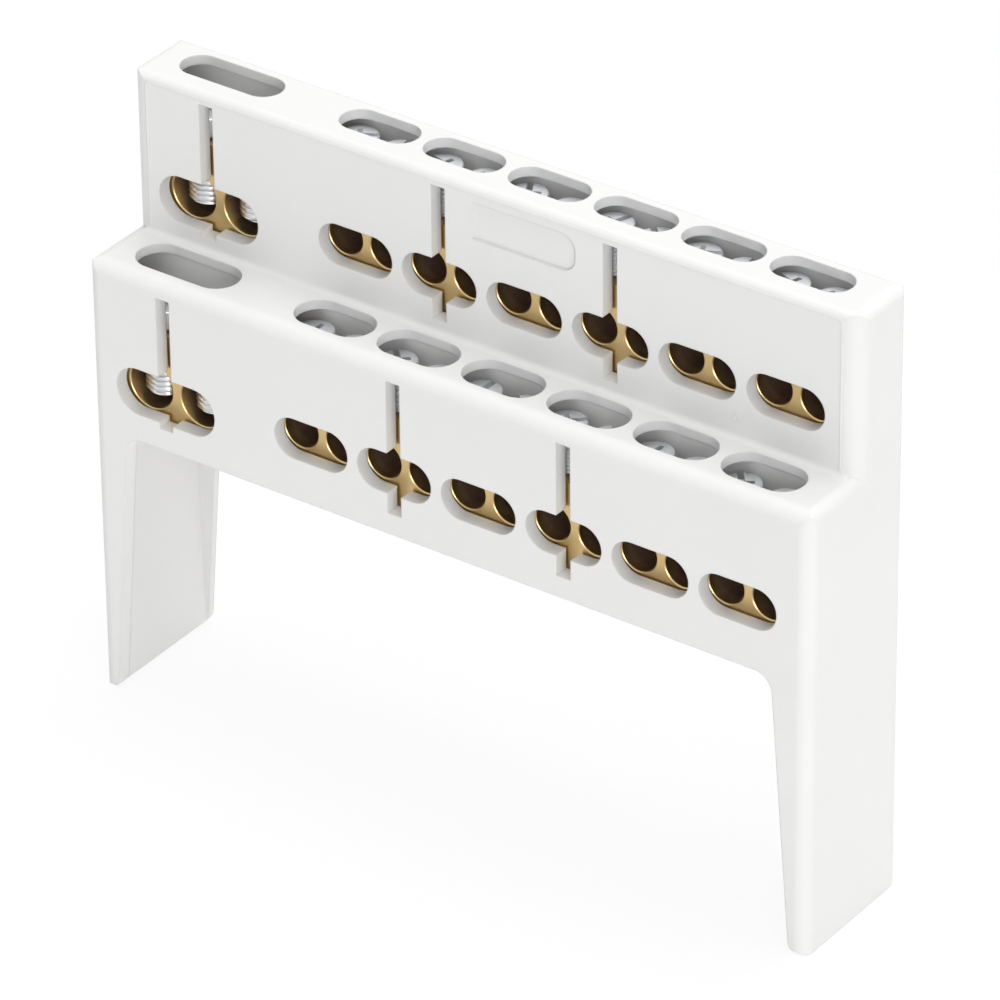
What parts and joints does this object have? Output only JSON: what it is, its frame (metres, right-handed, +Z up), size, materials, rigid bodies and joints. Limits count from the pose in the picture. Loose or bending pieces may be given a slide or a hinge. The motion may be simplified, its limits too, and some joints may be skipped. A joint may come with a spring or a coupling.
{
  "type": "earth terminal bar",
  "caption": "Two-tier earth terminal bar: brass bars with wire tunnels and clamp screws in a white moulded carrier on two legs.",
  "frame": {"origin": "middle of the footprint, on the surface that the legs stand on", "axes": "+X along the bars with the main terminals at the -X end, wires enter the tunnels from -Y, +Z up out of the screw slots"},
  "size_m": [0.1194, 0.022, 0.0945],
  "materials": {
    "carrier_plastic": "moulded, lightly glossy white",
    "bar_brass": "drawn and drilled",
    "screw_steel": "bright zinc plated"
  },
  "bodies": {
    "root": {"housing": "carrier_plastic", "lower_bar": "bar_brass", "upper_bar": "bar_brass", "lower_main_screw_1": "screw_steel", "lower_main_screw_2": "screw_steel", "upper_main_screw_1": "screw_steel", "upper_main_screw_2": "screw_steel", "lower_screw_1": "screw_steel", "lower_screw_2": "screw_steel", "lower_screw_3": "screw_steel", "lower_screw_4": "screw_steel", "lower_screw_5": "screw_steel", "lower_screw_6": "screw_steel", "lower_screw_7": "screw_steel", "lower_screw_8": "screw_steel", "lower_screw_9": "screw_steel", "lower_screw_10": "screw_steel", "lower_screw_11": "screw_steel", "lower_screw_12": "screw_steel", "upper_screw_1": "screw_steel", "upper_screw_2": "screw_steel", "upper_screw_3": "screw_steel", "upper_screw_4": "screw_steel", "upper_screw_5": "screw_steel", "upper_screw_6": "screw_steel", "upper_screw_7": "screw_steel", "upper_screw_8": "screw_steel", "upper_screw_9": "screw_steel", "upper_screw_10": "screw_steel", "upper_screw_11": "screw_steel", "upper_screw_12": "screw_steel"}
  },
  "joints": []
}
